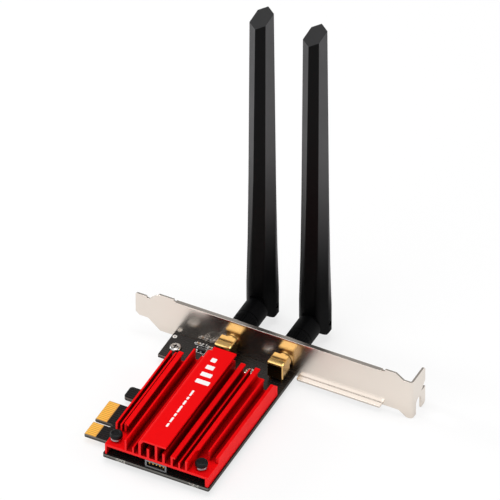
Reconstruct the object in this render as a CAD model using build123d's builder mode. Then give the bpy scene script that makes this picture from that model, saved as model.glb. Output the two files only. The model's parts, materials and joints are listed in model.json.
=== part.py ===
from build123d import *
import os
from math import cos, hypot, radians, sin, tan

os.makedirs("parts", exist_ok=True)

# Wireless network card: a board with a gold edge, a slot bracket, a finned heat sink and two antennas.
# Origin: the key notch at the gold edge, half-way through the board.
# +X runs from the gold edge across the card, +Y towards the bracket, +Z up from the component side.

# Fits
slip = 0.05  # radial room of a turned piece in its hole
loose = 0.2  # radial room of a screw, leg or thread in a drilled hole
running_gap = 0.3  # room between faces that turn past each other

# Circuit board
board_thickness = 1.6
board_left = 11.6
board_right = 57.5
board_front = 15.7  # from the key notch to the front edge
key_to_bracket = 59.3  # from the key notch to the bracket's inner face
board_rear_gap = 0.15
board_corner = 0.8
ear_left = 4.7  # the wider stretch beside the bracket
ear_depth = 14.0
hook_left = 3.9  # the retention tab between the gold edge and the bracket
hook_start = 17.2
hook_width = 6.6
hook_corner = 1.3
corner_hole_radius = 0.7
corner_hole_inset = (1.3, 2.0)  # from the ear's corner beside the bracket

# Gold edge
key_width = 1.9
key_depth = 7.8
rear_contacts = 11
front_contacts = 7
contact_pitch = 1.0
contact_width = 0.7
contact_side_margin = 0.475
contact_length = 4.2
contact_inset = 0.4
contact_thickness = 0.05
edge_bevel = 0.35

# Bracket
sheet = 0.86
bracket_length = 120.0
bracket_width = 18.42
bracket_tip = -12.2  # the tongue's end, along X
tongue_low = 4.7  # heights above the bracket's lower edge
tongue_high = 15.5
tongue_bevel = 1.6
tongue_root_low = 5.4  # distances from the tongue's end
tongue_root_high = 6.6
relief_radius = 0.9
shoulder_low = 10.6
shoulder_high = 10.3
flange_start = 17.9
flange_depth = 1.3
lower_flange_depth = 2.4
flange_notch = 1.1
lower_flange_margin = 1.3
flange_stop = 12.9  # distances back from the tab
slope_start = 7.1
slope_end = 3.7
flare_start = 6.0
flare_end = 2.6
tab_shift = 2.5
tab_reach = 11.43
tab_corner = 1.6
bend_radius = 0.5
slot_width = 4.4
slot_center = 5.6  # from the bracket's inner face
slot_top = 6.9  # above the tab's lower end
notch_low = 8.4
notch_high = 11.4
notch_reach = 3.4
lug_width = 8.0
lug_margin = 3.6  # sheet beyond the screw

# Bracket screws
screw_x = (9.3, 41.7)
screw_setback = 8.1  # from the bracket's inner face
screw_radius = 1.25
screw_head_radius = 2.4
screw_head_height = 1.3
screw_head_round = 0.6
screw_tail = 0.5

# Heat sink: heights are above the board, places across it are from its left side
sink_left = 12.5
sink_width = 44.5
sink_setback = 0.4
sink_back = 14.0  # from the bracket's inner face to the longest fins
sink_back_left = 18.6
sink_back_right = 19.4
sink_back_wall = 14.9
sink_back_trough = 15.4
sink_back_shoulder = 16.3
sink_clear = 4.0
sink_base = 1.15
left_wall = 0.8
left_wall_top = 8.6
right_wall = 1.3
right_wall_top = 7.8
right_wall_slope = 3.2
thin_fin = 0.75
fin_top = 9.8
tall_fin_top = 10.5
short_fin_top = 7.9
cap_width = 2.0
cap_thickness = 0.8
capped_web = 0.9
slim_fin = 2.1
left_capped_fin = 3.8
tall_fin = 8.6
left_short_fin = 11.8
plateau_web = 14.5
plateau_crease = 16.7
plateau_middle_web = 21.6
plateau_edge = 26.4
plateau_top = 13.5
plateau_thickness = 0.9
plateau_wall = 1.05
plateau_shoulder = 2.6
under_fins = (18.1, 24.8)
middle_capped_fin = 28.4
right_short_fin = 31.7
right_capped_fin = 34.6
right_slim_fin = 40.0
left_step = 6.9
trough_step = 13.9
right_step = 38.4

# Push pins that hold the heat sink down
pin_x = (15.3, 52.1)
pin_setback = 4.7  # from the board's front edge
pin_radius = 1.4
pin_head_radius = 2.55
pin_head_height = 1.9
pin_head_round = 0.45
pin_barb_radius = 1.95
pin_barb_length = 2.4
pin_point_radius = 0.8
spring_radius = 2.0
spring_wire = 0.5
spring_turns = 3
pocket_side = 3.9
pocket_back = 4.9
pocket_corner = 2.2

# Radio module under the heat sink
module_x = 34.5
module_width = 22.0
module_length = 30.0
module_start = 3.0
module_thickness = 0.8
module_lift = 1.3
module_grip = 3.4
module_notch_radius = 1.8
socket_depth = 7.6
socket_height = 2.9
socket_shoulder = 1.2
shield_width = 17.0
shield_length = 17.5
shield_height = 1.35
shield_round = 0.5
shield_margin = 1.5  # from the socket to the shield
standoff_radius = 2.2
standoff_bore = 0.8
module_screw_head = 2.3
module_screw_head_height = 0.8
pad_margin = 1.0

# Jumper leads from the module to the connectors
lead_radius = 0.45
coax_plug_radius = 1.2
coax_plug_height = 1.0
module_plug_spread = 5.6
module_plug_inset = 3.2
board_plug_setback = 16.6

# Front header
header_x = 34.2
header_width = 9.2
header_depth = 6.2
header_height = 3.4
header_wall = 0.65
header_setback = 0.9
header_pins = 5
header_pitch = 1.5
header_pin_width = 0.5

# Antenna connectors
connector_x = {"left": 29.5, "right": 52.4}
axis_height = 5.0  # above the board
block_width = 6.8
block_depth = 6.5
block_height = 7.8
block_lift = 1.4
block_gap = 1.6  # from the block to the bracket's inner face
block_chamfer = 0.4
leg_radius = 0.5
leg_inset = 1.0
leg_tail = 0.9
thread_radius = 3.175
thread_reach = 8.6  # past the bracket's outer face
jack_bore = 2.3
jack_bore_depth = 12.0
insulator_recess = 1.5
jack_pin_radius = 0.64
jack_pin_tail = 2.2
washer_radius = 4.6
washer_thickness = 0.5
nut_flats = 8.0
nut_thickness = 2.0
nut_chamfer = 0.35

# Antennas
barrel_radius = 5.0
collar_length = 9.8
collar_flutes = 30
flute_depth = 0.22
flute_width = 0.5
collar_smooth = 1.4  # plain band at each end
collar_lip_radius = 2.7
ferrule_radius = 2.4
ferrule_flange_radius = 3.05
ferrule_flange = 1.0
ferrule_reach = 8.6  # past the jack's end
ferrule_bore = 1.0
hinge_reach = 26.3  # from the bracket's outer face to the hinge axis
tongue_thickness = 5.6
hinge_pin_radius = 1.2
hinge_pin_recess = 1.3
ear_radius = 5.4
ear_round = 2.0  # of the ears' lower corners, seen from the front
fork_side_gap = 0.25
fork_root_gap = 0.4
blade_length = 150.3  # from the hinge axis to the highest point of the tip
blade_root = 8.0  # from the hinge axis to where the blade starts to taper
blade_hip = 30.0
blade_waist = 62.0
root_half_width = 7.4
root_flat = 3.6
root_round = 2.8
hip_half_width = 7.0
hip_flat = 3.2
hip_half_thickness = 3.75
hip_round = 1.6
waist_half_width = 6.25
waist_flat = 2.65
waist_half_thickness = 2.6
waist_round = 0.4
tip_half_width = 5.3
tip_flat = 2.25
tip_half_thickness = 1.2
tip_round = 0.12
tip_slope = (0.77, 3.4)  # rise along X and along Y
radiator_radius = 0.7
radiator_length = 105.0
radiator_start = 9.0

# Small parts soldered beside the left connector: each place is along X, then back from the bracket
chip_size = (1.6, 0.8, 0.8)
chips = ((16.3, 1.9), (18.9, 1.7), (21.6, 2.2), (24.2, 4.4), (22.8, 6.8), (24.2, 9.2), (22.8, 11.6))
regulator_size = (3.0, 1.7, 1.1)
regulator = (19.1, 4.9)

# Worked-out places
board_top = board_thickness / 2
board_bottom = -board_thickness / 2
board_rear = key_to_bracket - board_rear_gap
long_side = (rear_contacts - 1) * contact_pitch + contact_width + 2 * contact_side_margin
short_side = (front_contacts - 1) * contact_pitch + contact_width + 2 * contact_side_margin
tongue_start = -key_width / 2 - short_side
tongue_end = key_width / 2 + long_side
plate_low = board_bottom
plate_high = plate_low + bracket_width
plate_outer = key_to_bracket + sheet
tab_outer = bracket_tip + bracket_length
rim_start = bracket_tip + flange_start
rim_end = tab_outer - flange_stop
tab_inner = tab_outer - sheet
tab_low = plate_low - tab_shift
tab_high = plate_high - tab_shift
screw_y = key_to_bracket - screw_setback
screw_places = [(x, screw_y) for x in screw_x]
sink_right = sink_left + sink_width
sink_front = -board_front + sink_setback
sink_floor = board_top + sink_clear
sink_deck = sink_floor + sink_base
pin_y = -board_front + pin_setback
pin_places = [(x, pin_y) for x in pin_x]
spring_height = spring_turns * spring_wire
axis_z = board_top + axis_height
block_back = key_to_bracket - block_gap
block_front = block_back - block_depth
block_low = board_top + block_lift
block_high = block_low + block_height
jack_end = plate_outer + thread_reach
nut_start = plate_outer + washer_thickness
collar_start = nut_start + nut_thickness + running_gap
collar_end = collar_start + collar_length
base_start = collar_end + running_gap
ferrule_end = jack_end + ferrule_reach
hinge_y = plate_outer + hinge_reach
base_end = hinge_y - ear_radius - running_gap
root_slant = hypot(root_half_width - root_flat, ear_radius)
ear_side = root_half_width - root_round * (root_slant / ear_radius - 1)
low_corner = (Align.MIN, Align.MIN)


def facing_front(y):
    """A plane across the card at a place along Y, with local axes X and Z; it looks towards the front."""
    return Plane.XZ.offset(-y)


def strip(x, z, width, height, mode=Mode.ADD):
    """A rectangle in the open sketch, given by its low corner."""
    with Locations((x, z)):
        Rectangle(width, height, align=low_corner, mode=mode)


def leg_places(x):
    """The four legs and the signal leg of a connector block."""
    middle = (block_front + block_back) / 2
    side = block_width / 2 - leg_inset
    end = block_depth / 2 - leg_inset
    corners = [(x + i * side, middle + j * end) for i in (-1, 1) for j in (-1, 1)]
    return corners + [(x, middle)]


# Circuit board
with BuildPart() as circuit_board:
    with BuildSketch(Plane.XY.offset(board_bottom)) as outline:
        strip(board_left, -board_front, board_right - board_left, board_front + board_rear)
        strip(ear_left, board_rear - ear_depth, board_right - ear_left, ear_depth)
        fillet(outline.vertices().group_by(Axis.Y)[0], board_corner)
        strip(0, tongue_start, board_left, tongue_end - tongue_start)
        chamfer(outline.vertices().group_by(Axis.X)[0], edge_bevel)
        strip(0, -key_width / 2, key_depth - key_width / 2, key_width, mode=Mode.SUBTRACT)
        with Locations((key_depth - key_width / 2, 0)):
            Circle(key_width / 2, mode=Mode.SUBTRACT)
        with Locations((hook_left + hook_width, hook_start + hook_width / 2)):
            RectangleRounded(2 * hook_width, hook_width, hook_corner)
    extrude(amount=board_thickness)
    nose = circuit_board.edges().filter_by(Axis.Y).group_by(Axis.X)[0]
    chamfer(nose, edge_bevel)
    with Locations(*screw_places):
        Hole(screw_radius + loose)
    with Locations(*pin_places):
        Hole(pin_radius + loose)
    with Locations((ear_left + corner_hole_inset[0], board_rear - corner_hole_inset[1])):
        Hole(corner_hole_radius)
    for x in connector_x.values():
        with Locations(*leg_places(x)):
            Hole(leg_radius + slip)
circuit_board.part.label = "circuit_board"
export_step(circuit_board.part, "parts/circuit_board.step")

# Gold contacts on both faces of the edge
for face, height in (("top", board_top), ("bottom", board_bottom - contact_thickness)):
    with BuildPart() as contacts:
        with BuildSketch(Plane.XY.offset(height)):
            for start, count in ((tongue_start, front_contacts), (key_width / 2, rear_contacts)):
                for i in range(count):
                    strip(contact_inset, start + contact_side_margin + i * contact_pitch, contact_length, contact_width)
        extrude(amount=contact_thickness)
    contacts.part.label = f"edge_contacts_{face}"
    export_step(contacts.part, f"parts/edge_contacts_{face}.step")

# Slot bracket, cut and folded from one sheet
with BuildPart() as bracket:
    with BuildSketch(facing_front(key_to_bracket)) as blank:
        with BuildLine():
            Polyline(
                (bracket_tip, plate_low + tongue_low + tongue_bevel),
                (bracket_tip + tongue_bevel, plate_low + tongue_low),
                (bracket_tip + tongue_root_low, plate_low + tongue_low),
                (bracket_tip + shoulder_low, plate_low),
                (tab_outer - flare_start, plate_low),
                (tab_outer - flare_end, tab_low),
                (tab_outer, tab_low),
                (tab_outer, tab_high),
                (tab_outer - slope_end, tab_high),
                (tab_outer - slope_start, plate_high),
                (bracket_tip + shoulder_high, plate_high),
                (bracket_tip + tongue_root_high, plate_low + tongue_high),
                (bracket_tip, plate_low + tongue_high),
                close=True,
            )
        make_face()
        fillet(blank.vertices().group_by(Axis.X)[0], tongue_bevel / 2)
        with Locations((bracket_tip + tongue_root_high - relief_radius, plate_low + tongue_high)):
            Circle(relief_radius, mode=Mode.SUBTRACT)
        for x in (rim_start - flange_notch, rim_end):
            strip(x, plate_high - sheet, flange_notch, sheet, mode=Mode.SUBTRACT)
        for x in screw_x:
            strip(x - lug_width / 2, plate_low - sheet, lug_width, 2 * sheet)
        with Locations(*[(x, axis_z) for x in connector_x.values()]):
            Circle(thread_radius + loose, mode=Mode.SUBTRACT)
    extrude(amount=-sheet)
    with BuildSketch(facing_front(key_to_bracket)):
        strip(rim_start, plate_high - sheet, rim_end - rim_start, sheet)
    extrude(amount=flange_depth)
    with BuildSketch(facing_front(key_to_bracket)):
        lower_start = board_right + lower_flange_margin
        strip(lower_start, plate_low, rim_end - lower_start, sheet)
    extrude(amount=lower_flange_depth)
    with BuildSketch(Plane.XY.offset(plate_low - sheet)):
        for x in screw_x:
            strip(x - lug_width / 2, screw_y - lug_margin, lug_width, screw_setback + lug_margin)
    extrude(amount=sheet)
    with BuildSketch(Plane.YZ.offset(tab_inner)) as tab:
        strip(key_to_bracket, tab_low, tab_reach, tab_high - tab_low)
        fillet(tab.vertices().group_by(Axis.X)[-1], tab_corner)
        strip(key_to_bracket + slot_center - slot_width / 2, tab_low, slot_width, slot_top - slot_width / 2, Mode.SUBTRACT)
        with Locations((key_to_bracket + slot_center, tab_low + slot_top - slot_width / 2)):
            Circle(slot_width / 2, mode=Mode.SUBTRACT)
        with BuildLine():
            far = key_to_bracket + tab_reach
            Polyline(
                (far, tab_low + notch_low),
                (far - notch_reach, tab_low + notch_low),
                (far, tab_low + notch_high),
                close=True,
            )
        make_face(mode=Mode.SUBTRACT)
    extrude(amount=sheet)
    upright = bracket.edges().filter_by(Axis.Z)
    outer_bend = upright.filter_by_position(Axis.X, tab_outer, tab_outer).group_by(Axis.Y)[0]
    inner_bend = upright.filter_by_position(Axis.X, tab_inner, tab_inner)
    inner_bend = inner_bend.filter_by_position(Axis.Y, plate_outer, plate_outer)
    fillet(outer_bend, bend_radius + sheet)
    fillet(inner_bend, bend_radius)
    with Locations(*[(x, y, plate_low) for x, y in screw_places]):
        Hole(screw_radius + slip, depth=sheet)
    ridge = bracket.edges().filter_by(Axis.X).filter_by_position(Axis.Y, plate_outer, plate_outer)
    upper_fold = ridge.filter_by_position(Axis.Z, plate_high, plate_high).sort_by(Edge.length)[-1]
    fillet(upper_fold, sheet - bend_radius / 2)
    for depth in {flange_depth, lower_flange_depth}:
        near = key_to_bracket - depth
        flange_corners = bracket.edges().filter_by(Axis.Z).filter_by_position(Axis.Y, near, near)
        fillet(flange_corners, flange_depth / 2)
bracket.part.label = "bracket"
export_step(bracket.part, "parts/bracket.step")

# Screws that hold the board to the bracket's lugs
with BuildPart() as bracket_screws:
    with BuildSketch(Plane.XY.offset(board_top)):
        with Locations(*screw_places):
            Circle(screw_head_radius)
    extrude(amount=screw_head_height)
    chamfer(bracket_screws.edges().group_by(Axis.Z)[-1], screw_head_round)
    with BuildSketch(Plane.XY.offset(board_top)):
        with Locations(*screw_places):
            Circle(screw_radius)
    extrude(amount=-(board_thickness + sheet + screw_tail))
bracket_screws.part.label = "bracket_screws"
export_step(bracket_screws.part, "parts/bracket_screws.step")

# Heat sink: one extrusion with its ends milled back
with BuildPart() as heat_sink:
    with BuildSketch(facing_front(sink_front)):
        strip(sink_left, sink_floor, sink_width, sink_base)
        strip(sink_left, board_top, left_wall, left_wall_top)
        strip(sink_right - right_wall, board_top, right_wall, right_wall_top)
        for place, top in (
            (slim_fin, left_wall_top),
            (tall_fin, tall_fin_top),
            (left_short_fin, short_fin_top),
            (right_short_fin, short_fin_top),
            (right_slim_fin, fin_top),
        ):
            strip(sink_left + place, sink_floor, thin_fin, top - sink_clear)
        for place in under_fins:
            strip(sink_left + place, sink_floor, plateau_wall, fin_top - sink_clear)
        for place in (left_capped_fin, middle_capped_fin, right_capped_fin):
            strip(sink_left + place, sink_floor, capped_web, fin_top - sink_clear)
            strip(sink_left + place, board_top + fin_top - cap_thickness, cap_width, cap_thickness)
        strip(sink_left + plateau_web, sink_floor, plateau_wall, plateau_top - plateau_shoulder - sink_clear)
        strip(sink_left + plateau_middle_web, sink_floor, plateau_wall, plateau_top - sink_clear)
        lid = board_top + plateau_top
        strip(sink_left + plateau_crease, lid - plateau_thickness, plateau_edge - plateau_crease, plateau_thickness)
        with BuildLine():
            web_top = lid - plateau_shoulder
            ThreePointArc(
                (sink_left + plateau_web, web_top),
                (
                    sink_left + plateau_web + (plateau_crease - plateau_web) * (1 - cos(radians(45))),
                    web_top + plateau_shoulder * sin(radians(45)),
                ),
                (sink_left + plateau_crease, lid),
            )
            Line((sink_left + plateau_crease, lid), (sink_left + plateau_crease, lid - plateau_thickness))
            Line(
                (sink_left + plateau_crease, lid - plateau_thickness),
                (sink_left + plateau_web + plateau_wall, web_top),
            )
            Line((sink_left + plateau_web + plateau_wall, web_top), (sink_left + plateau_web, web_top))
        make_face()
    extrude(amount=-(key_to_bracket - sink_back - sink_front))
    beyond = key_to_bracket
    with BuildSketch(Plane.XY.offset(board_top)):
        strip(sink_left, key_to_bracket - sink_back_left, left_step, beyond)
        strip(sink_left, key_to_bracket - sink_back_trough, trough_step, beyond)
        shoulder_strip = plateau_crease - trough_step
        strip(sink_left + trough_step, key_to_bracket - sink_back_shoulder, shoulder_strip, beyond)
        right_fins = sink_width - right_step - right_wall
        strip(sink_left + right_step, key_to_bracket - sink_back_right, right_fins, beyond)
        strip(sink_right - right_wall, key_to_bracket - sink_back_wall, right_wall, beyond)
    extrude(amount=plateau_top, mode=Mode.SUBTRACT)
    with BuildSketch(Plane.YZ.offset(sink_right - right_wall)):
        with BuildLine():
            wall_end = key_to_bracket - sink_back_wall
            wall_lid = board_top + right_wall_top
            Polyline(
                (wall_end, wall_lid - right_wall_slope),
                (wall_end, wall_lid),
                (wall_end - right_wall_slope, wall_lid),
                close=True,
            )
        make_face()
    extrude(amount=right_wall, mode=Mode.SUBTRACT)
    with BuildSketch(Plane.XY.offset(sink_deck)) as pockets:
        pocket_length = pocket_back + pin_setback
        left_end = pin_x[0] + pocket_side - sink_left
        right_end = sink_right - pin_x[1] + pocket_side
        strip(sink_left, -board_front, left_end, pocket_length)
        strip(sink_right - right_end, -board_front, right_end, pocket_length)
        inner = pockets.vertices().group_by(Axis.Y)[-1].sort_by(Axis.X)[1:3]
        fillet(inner, pocket_corner)
    extrude(amount=plateau_top, mode=Mode.SUBTRACT)
    with Locations(*[(x, y, sink_deck) for x, y in pin_places]):
        Hole(pin_radius + loose, depth=sink_base)
heat_sink.part.label = "heat_sink"
export_step(heat_sink.part, "parts/heat_sink.step")

# Push pins and the springs under their heads
with BuildPart() as push_pins:
    for place in pin_places:
        with BuildSketch(Plane((*place, 0), x_dir=(1, 0, 0), z_dir=(0, -1, 0))):
            head_low = sink_deck + spring_height
            head_high = head_low + pin_head_height
            with BuildLine():
                Polyline(
                    (0, board_bottom - pin_barb_length),
                    (pin_point_radius, board_bottom - pin_barb_length),
                    (pin_barb_radius, board_bottom - slip),
                    (pin_radius, board_bottom - slip),
                    (pin_radius, head_low),
                    (pin_head_radius, head_low),
                    (pin_head_radius, head_high - pin_head_round),
                    (pin_head_radius - pin_head_round, head_high),
                    (0, head_high),
                    close=True,
                )
            make_face()
        revolve(axis=Axis((*place, 0), (0, 0, 1)))
push_pins.part.label = "push_pins"
export_step(push_pins.part, "parts/push_pins.step")

with BuildPart() as pin_springs:
    for place in pin_places:
        with BuildSketch(Plane((*place, 0), x_dir=(1, 0, 0), z_dir=(0, -1, 0))):
            strip(spring_radius - spring_wire / 2, sink_deck, spring_wire / 2, spring_height)
            for i in range(spring_turns):
                with BuildLine():
                    turn = sink_deck + i * spring_wire
                    Polyline(
                        (spring_radius, turn),
                        (spring_radius + spring_wire / 2, turn + spring_wire / 2),
                        (spring_radius, turn + spring_wire),
                        close=True,
                    )
                make_face()
        revolve(axis=Axis((*place, 0), (0, 0, 1)))
pin_springs.part.label = "pin_springs"
export_step(pin_springs.part, "parts/pin_springs.step")

# Radio module: its board, shield, socket, standoff and screw
module_low = board_top + module_lift
module_high = module_low + module_thickness
module_end = module_start + module_length
standoff_y = module_end
with BuildPart() as module_board:
    with BuildSketch(Plane.XY.offset(module_low)):
        strip(module_x - module_width / 2, module_start, module_width, module_length)
        with Locations((module_x, standoff_y)):
            Circle(module_notch_radius, mode=Mode.SUBTRACT)
    extrude(amount=module_thickness)
module_board.part.label = "module_board"
export_step(module_board.part, "parts/module_board.step")

shield_start = module_start + module_grip + shield_margin
shield_top = module_high + shield_height
with BuildPart() as module_shield:
    with BuildSketch(Plane.XY.offset(module_high)):
        strip(module_x - shield_width / 2, shield_start, shield_width, shield_length)
    extrude(amount=shield_height)
    fillet(module_shield.edges().filter_by(Axis.Z), shield_round)
module_shield.part.label = "module_shield"
export_step(module_shield.part, "parts/module_shield.step")

with BuildPart() as thermal_pad:
    with BuildSketch(Plane.XY.offset(shield_top)):
        pad_x = module_x - shield_width / 2 + pad_margin
        strip(pad_x, shield_start + pad_margin, shield_width - 2 * pad_margin, shield_length - 2 * pad_margin)
    extrude(amount=sink_floor - shield_top)
thermal_pad.part.label = "thermal_pad"
export_step(thermal_pad.part, "parts/thermal_pad.step")

socket_end = module_start + module_grip
with BuildPart() as module_socket:
    with BuildSketch(Plane.XY.offset(board_top)):
        wide = module_width + 2 * socket_shoulder
        strip(module_x - wide / 2, socket_end - socket_depth, wide, socket_depth)
    extrude(amount=socket_height)
    with BuildSketch(Plane.XY.offset(module_low - slip)):
        mouth = module_width + 2 * slip
        strip(module_x - mouth / 2, module_start - slip, mouth, module_grip + 2 * slip)
    extrude(amount=module_thickness + 2 * slip, mode=Mode.SUBTRACT)
module_socket.part.label = "module_socket"
export_step(module_socket.part, "parts/module_socket.step")

with BuildPart() as module_standoff:
    with BuildSketch(Plane.XY.offset(board_top)):
        with Locations((module_x, standoff_y)):
            Circle(standoff_radius)
            Circle(standoff_bore + slip, mode=Mode.SUBTRACT)
    extrude(amount=module_lift)
module_standoff.part.label = "module_standoff"
export_step(module_standoff.part, "parts/module_standoff.step")

with BuildPart() as module_screw:
    with BuildSketch(Plane.XY.offset(module_high)):
        with Locations((module_x, standoff_y)):
            Circle(module_screw_head)
    extrude(amount=module_screw_head_height)
    chamfer(module_screw.edges().group_by(Axis.Z)[-1], module_screw_head_height / 3)
    with BuildSketch(Plane.XY.offset(module_high)):
        with Locations((module_x, standoff_y)):
            Circle(standoff_bore)
    extrude(amount=-(module_thickness + module_lift))
module_screw.part.label = "module_screw"
export_step(module_screw.part, "parts/module_screw.step")

# Jumper leads: a snap plug at each end and a thin lead that steps down between them
board_plug_y = key_to_bracket - board_plug_setback
module_plug_y = module_end - module_plug_inset
for side, sign in (("left", -1), ("right", 1)):
    start = Vector(module_x + sign * module_plug_spread, module_plug_y, module_high)
    end = Vector(connector_x[side] + sign * module_plug_spread / 4, board_plug_y, board_top)
    with BuildPart() as coax_plugs:
        for foot in (start, end):
            with BuildSketch(Plane(foot)):
                Circle(coax_plug_radius)
            extrude(amount=coax_plug_height)
    coax_plugs.part.label = f"{side}_lead_plugs"
    export_step(coax_plugs.part, f"parts/{side}_lead_plugs.step")
    lift = Vector(0, 0, coax_plug_height / 2)
    away = Vector(0, coax_plug_radius, 0)
    first = start + lift + away
    last = end + lift - away
    third = Vector(0, (last.Y - first.Y) / 3, 0)
    with BuildPart() as lead:
        with BuildLine() as route:
            FilletPolyline(first, first + third, last - third, last, radius=third.Y * 0.9)
        with BuildSketch(Plane(route.line @ 0, z_dir=route.line % 0)):
            Circle(lead_radius)
        sweep()
    lead.part.label = f"{side}_lead"
    export_step(lead.part, f"parts/{side}_lead.step")

# Front header: an open-fronted shell with a row of pins
header_front = -board_front + header_setback
with BuildPart() as header_shell:
    with BuildSketch(Plane.XY.offset(board_top)):
        strip(header_x - header_width / 2, header_front, header_width, header_depth)
    extrude(amount=header_height)
    with BuildSketch(facing_front(header_front)):
        inside = header_width - 2 * header_wall
        strip(header_x - inside / 2, board_top + header_wall, inside, header_height - 2 * header_wall)
    extrude(amount=-(header_depth - header_wall), mode=Mode.SUBTRACT)
header_shell.part.label = "header_shell"
export_step(header_shell.part, "parts/header_shell.step")

with BuildPart() as header_pin_row:
    pin_root = header_front + header_depth - header_wall
    with BuildSketch(facing_front(pin_root)):
        with Locations((header_x, board_top + header_height / 2)):
            with GridLocations(header_pitch, 0, header_pins, 1):
                Rectangle(header_pin_width, header_pin_width)
    extrude(amount=header_depth - 2 * header_wall)
header_pin_row.part.label = "header_pins"
export_step(header_pin_row.part, "parts/header_pins.step")

# Small chips on the board beside the left connector
with BuildPart() as board_chips:
    with BuildSketch(Plane.XY.offset(board_top)):
        with Locations(*[(x, key_to_bracket - setback) for x, setback in chips]):
            Rectangle(chip_size[0], chip_size[1])
    extrude(amount=chip_size[2])
    with BuildSketch(Plane.XY.offset(board_top)):
        with Locations((regulator[0], key_to_bracket - regulator[1])):
            Rectangle(regulator_size[0], regulator_size[1])
    extrude(amount=regulator_size[2])
board_chips.part.label = "board_chips"
export_step(board_chips.part, "parts/board_chips.step")


def blade_section(x, height, half_width, flat, half_thickness, corner, slope=(0.0, 0.0)):
    """One six-sided section of an antenna blade, rounded at its corners and level unless it has a slope."""
    along_x, along_y = slope
    middle = Vector(x, hinge_y, axis_z + height)
    plane = Plane(middle, x_dir=(1, 0, along_x), z_dir=(-along_x, -along_y, 1))
    corners = [
        (-half_width, 0),
        (-flat, -half_thickness),
        (flat, -half_thickness),
        (half_width, 0),
        (flat, half_thickness),
        (-flat, half_thickness),
    ]
    lifted = [middle + Vector(i, j, along_x * i + along_y * j) for i, j in corners]
    flattened = [plane.to_local_coords(point) for point in lifted]
    with BuildSketch(plane) as section:
        with BuildLine():
            Polyline(*[(point.X, point.Y) for point in flattened], close=True)
        make_face()
        fillet(section.vertices(), corner)
    return section.sketch


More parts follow.
